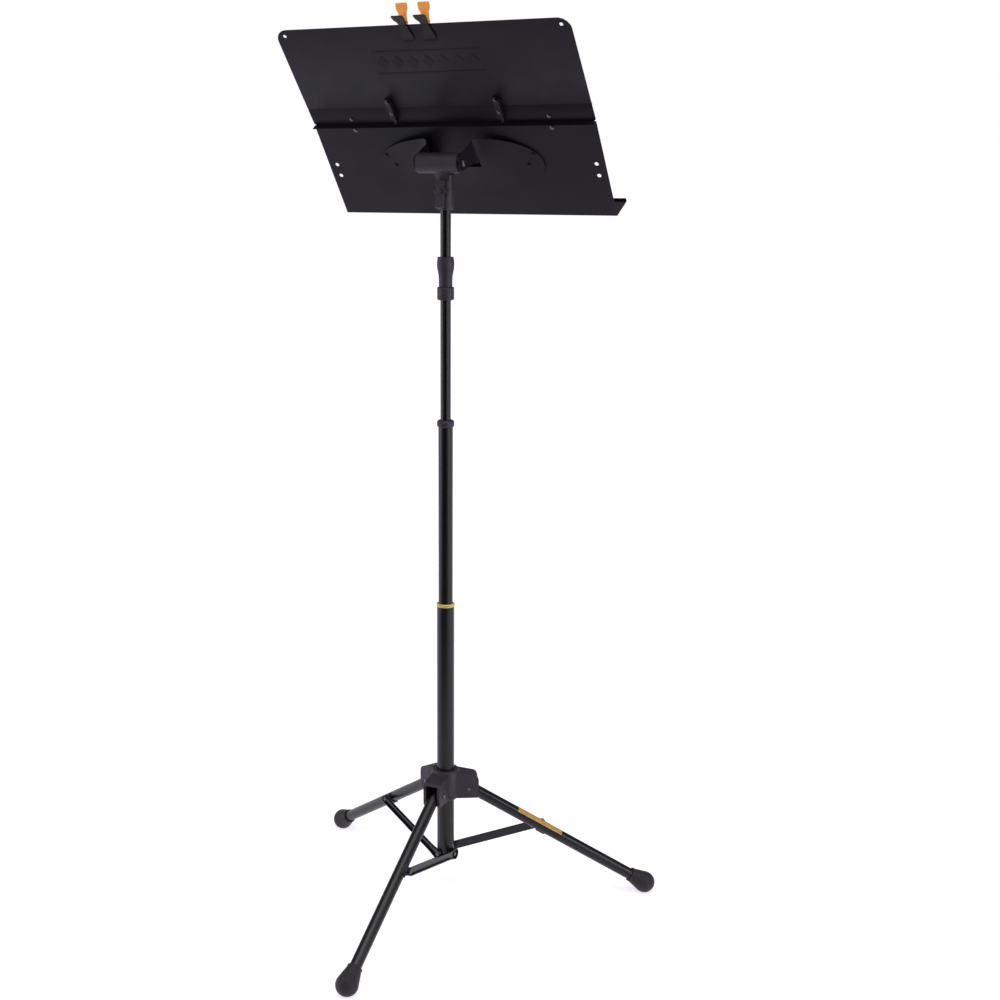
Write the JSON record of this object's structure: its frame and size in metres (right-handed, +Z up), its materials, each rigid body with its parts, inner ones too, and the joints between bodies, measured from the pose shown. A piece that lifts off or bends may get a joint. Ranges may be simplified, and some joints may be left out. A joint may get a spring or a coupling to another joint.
{
  "type": "music stand",
  "caption": "Floor-standing music stand: folding tripod with braced legs, telescoping mast with squeeze grip, and a tilting, folding sheet-metal desk with ledge and page clips.",
  "frame": {"origin": "on the floor under the middle of the stand's box; the mast's axis is 86.3 mm towards -Y from it", "axes": "+Z up along the mast, the reader stands on the -Y side, one leg points along +Y, +X is the reader's right"},
  "size_m": [0.6338, 0.5535, 1.4592],
  "materials": {
    "black_tube": "satin black powder coat on round steel tube",
    "black_sheet": "fine-textured dark grey powder coat on sheet steel",
    "black_plastic": "moulded glass-filled nylon",
    "black_rubber": "moulded rubber",
    "steel": "zinc-plated steel",
    "gold_plastic": "satin gold-coloured plastic",
    "orange_plastic": "satin orange plastic"
  },
  "bodies": {
    "base": {"lower_tube": "black_tube", "lower_tube_plug": "black_plastic", "lower_tube_ring": "gold_plastic", "strut_stud_1": "steel", "strut_stud_2": "steel", "strut_stud_3": "steel"},
    "hub": {"hub": "black_plastic", "leg_pin_1": "steel", "leg_pin_2": "steel", "leg_pin_3": "steel"},
    "leg_1": {"leg_1": "black_tube", "foot_boot_1": "black_rubber", "leg_saddle_1": "black_plastic"},
    "strut_1": {"strut_1": "black_tube", "strut_rivet_1": "steel"},
    "leg_2": {"leg_2": "black_tube", "foot_boot_2": "black_rubber", "leg_saddle_2": "black_plastic"},
    "strut_2": {"strut_2": "black_tube", "strut_rivet_2": "steel"},
    "leg_3": {"leg_3": "black_tube", "foot_boot_3": "black_rubber", "leg_saddle_3": "black_plastic"},
    "strut_3": {"strut_3": "black_tube", "strut_rivet_3": "steel"},
    "middle": {"middle_tube": "black_tube", "middle_collar": "black_plastic", "middle_guide": "black_plastic"},
    "upper": {"upper_tube": "black_tube", "upper_guide": "black_plastic", "grip_block": "black_plastic"},
    "grip_lever_left": {"grip_lever_left": "black_plastic"},
    "grip_lever_right": {"grip_lever_right": "black_plastic"},
    "neck": {"neck": "black_plastic", "neck_lever_pin": "steel"},
    "neck_lever": {"neck_lever": "black_plastic"},
    "desk": {"lower_panel": "black_sheet", "mount_plate": "black_sheet", "tilt_bolt": "steel", "tilt_nut": "steel", "tilt_washer_left": "steel", "tilt_washer_right": "steel", "lower_leaf_left": "steel", "lower_leaf_right": "steel"},
    "desk_top": {"upper_panel": "black_sheet", "upper_leaf_left": "steel", "upper_leaf_right": "steel"},
    "catch_left": {"catch_left": "black_sheet"},
    "catch_right": {"catch_right": "black_sheet"},
    "clip_left": {"clip_left_back": "black_plastic", "clip_left_coil": "steel"},
    "clip_left_front": {"clip_left_front": "orange_plastic"},
    "clip_right": {"clip_right_back": "black_plastic", "clip_right_coil": "steel"},
    "clip_right_front": {"clip_right_front": "orange_plastic"}
  },
  "joints": [
    {"name": "hub_slide", "type": "slide", "parent": "base", "child": "hub", "axis": [0, 0, 1], "range_m": [0, 0.1991]},
    {"name": "leg_fold_1", "type": "hinge", "parent": "hub", "child": "leg_1", "pos_m": [0, -0.04827, 0.205], "axis": [-1, 0, 0], "range_deg": [0, 58.6]},
    {"name": "strut_fold_1", "type": "hinge", "parent": "base", "child": "strut_1", "pos_m": [0, -0.08628, 0.0857], "axis": [1, 0, 0], "range_deg": [0, 63.6]},
    {"name": "leg_fold_2", "type": "hinge", "parent": "hub", "child": "leg_2", "pos_m": [-0.03291, -0.10527, 0.205], "axis": [0.5, -0.866, 0], "range_deg": [0, 58.6]},
    {"name": "strut_fold_2", "type": "hinge", "parent": "base", "child": "strut_2", "pos_m": [0, -0.08628, 0.0857], "axis": [-0.5, 0.866, 0], "range_deg": [0, 63.6]},
    {"name": "leg_fold_3", "type": "hinge", "parent": "hub", "child": "leg_3", "pos_m": [0.03291, -0.10527, 0.205], "axis": [0.5, 0.866, 0], "range_deg": [0, 58.6]},
    {"name": "strut_fold_3", "type": "hinge", "parent": "base", "child": "strut_3", "pos_m": [0, -0.08628, 0.0857], "axis": [-0.5, -0.866, 0], "range_deg": [0, 63.6]},
    {"name": "middle_slide", "type": "slide", "parent": "base", "child": "middle", "axis": [0, 0, 1], "range_m": [-0.272, 0.085]},
    {"name": "upper_slide", "type": "slide", "parent": "middle", "child": "upper", "axis": [0, 0, 1], "range_m": [-0.19, 0.13]},
    {"name": "grip_squeeze_left", "type": "hinge", "parent": "upper", "child": "grip_lever_left", "pos_m": [-0.0051, -0.07744, 1.0435], "axis": [0.866, 0.5, 0], "range_deg": [0, 3], "stiffness_Nm_per_rad": 4, "springref_deg": -1.15},
    {"name": "grip_squeeze_right", "type": "hinge", "parent": "upper", "child": "grip_lever_right", "pos_m": [0.0051, -0.09511, 1.0435], "axis": [-0.866, -0.5, 0], "range_deg": [0, 3], "stiffness_Nm_per_rad": 4, "springref_deg": -1.15},
    {"name": "desk_swivel", "type": "hinge", "parent": "upper", "child": "neck", "pos_m": [0, -0.08628, 1.162], "axis": [0, 0, 1], "continuous": true},
    {"name": "neck_lever_press", "type": "hinge", "parent": "neck", "child": "neck_lever", "pos_m": [0, -0.06728, 1.192], "axis": [-1, 0, 0], "range_deg": [0, 14], "stiffness_Nm_per_rad": 0.3, "springref_deg": -2.86},
    {"name": "desk_tilt", "type": "hinge", "parent": "neck", "child": "desk", "pos_m": [0, -0.06427, 1.233], "axis": [1, 0, 0], "range_deg": [-48, 36]},
    {"name": "desk_fold", "type": "hinge", "parent": "desk", "child": "desk_top", "pos_m": [0, -0.10257, 1.29532], "axis": [1, 0, 0], "range_deg": [0, 166]},
    {"name": "catch_left_swing", "type": "hinge", "parent": "desk_top", "child": "catch_left", "pos_m": [0.091, -0.07115, 1.32449], "axis": [0, -0.7581, 0.6521], "range_deg": [0, 90]},
    {"name": "catch_right_swing", "type": "hinge", "parent": "desk_top", "child": "catch_right", "pos_m": [-0.091, -0.07115, 1.32449], "axis": [0, 0.7581, -0.6521], "range_deg": [0, 90]},
    {"name": "clip_left_slide", "type": "slide", "parent": "desk_top", "child": "clip_left", "axis": [1, 0, 0], "range_m": [0, 0.17]},
    {"name": "clip_right_slide", "type": "slide", "parent": "desk_top", "child": "clip_right", "axis": [-1, 0, 0], "range_m": [0, 0.17]},
    {"name": "clip_left_open", "type": "hinge", "parent": "clip_left", "child": "clip_left_front", "pos_m": [0.018, 0.01961, 1.43161], "axis": [-1, 0, 0], "range_deg": [0, 14], "stiffness_Nm_per_rad": 0.2, "springref_deg": -5.73},
    {"name": "clip_right_open", "type": "hinge", "parent": "clip_right", "child": "clip_right_front", "pos_m": [-0.018, 0.01961, 1.43161], "axis": [-1, 0, 0], "range_deg": [0, 14], "stiffness_Nm_per_rad": 0.2, "springref_deg": -5.73}
  ],
  "couplings": [
    {"joint": "leg_fold_1", "follows": "hub_slide", "rad_per_m": 5.1325},
    {"joint": "strut_fold_1", "follows": "hub_slide", "rad_per_m": 5.5712},
    {"joint": "leg_fold_2", "follows": "hub_slide", "rad_per_m": 5.1325},
    {"joint": "strut_fold_2", "follows": "hub_slide", "rad_per_m": 5.5712},
    {"joint": "leg_fold_3", "follows": "hub_slide", "rad_per_m": 5.1325},
    {"joint": "strut_fold_3", "follows": "hub_slide", "rad_per_m": 5.5712}
  ]
}
